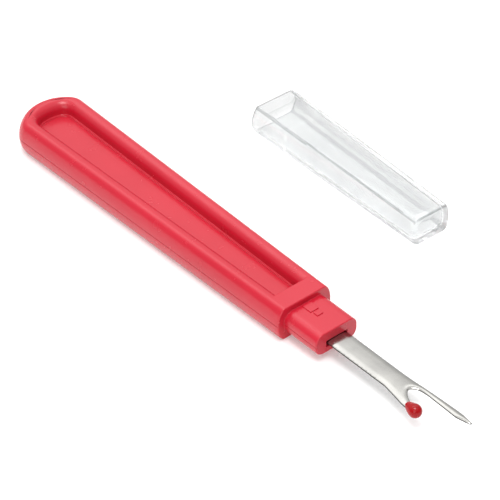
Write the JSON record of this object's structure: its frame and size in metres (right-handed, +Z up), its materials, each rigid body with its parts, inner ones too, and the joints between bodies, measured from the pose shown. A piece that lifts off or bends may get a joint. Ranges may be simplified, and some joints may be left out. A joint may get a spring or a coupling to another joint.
{
  "type": "seam ripper",
  "caption": "Seam ripper with a tapered, recessed plastic grip, an arched forked steel blade with a bead on the short prong, and a loose clear cap.",
  "frame": {"origin": "on the table plane, under the middle of the flat land between the finger recess and the handle's front shoulder", "axes": "+X along the tool from the handle to the blade's tip, +Z up from the table, +Y across the tool, towards the cap"},
  "size_m": [0.138, 0.0571, 0.0083],
  "materials": {
    "handle": "moulded red plastic, satin gloss",
    "blade": "stamped and nickel-plated sheet steel",
    "bead": "dipped glossy red plastic",
    "cap": "clear moulded plastic"
  },
  "bodies": {
    "tool": {"handle": "handle", "blade": "blade", "bead": "bead"},
    "cap": {"cap": "cap"}
  },
  "joints": [
    {"name": "cap_slide", "type": "slide", "parent": "tool", "child": "cap", "axis": [1, 0, 0], "range_m": [0, 0.105]}
  ]
}
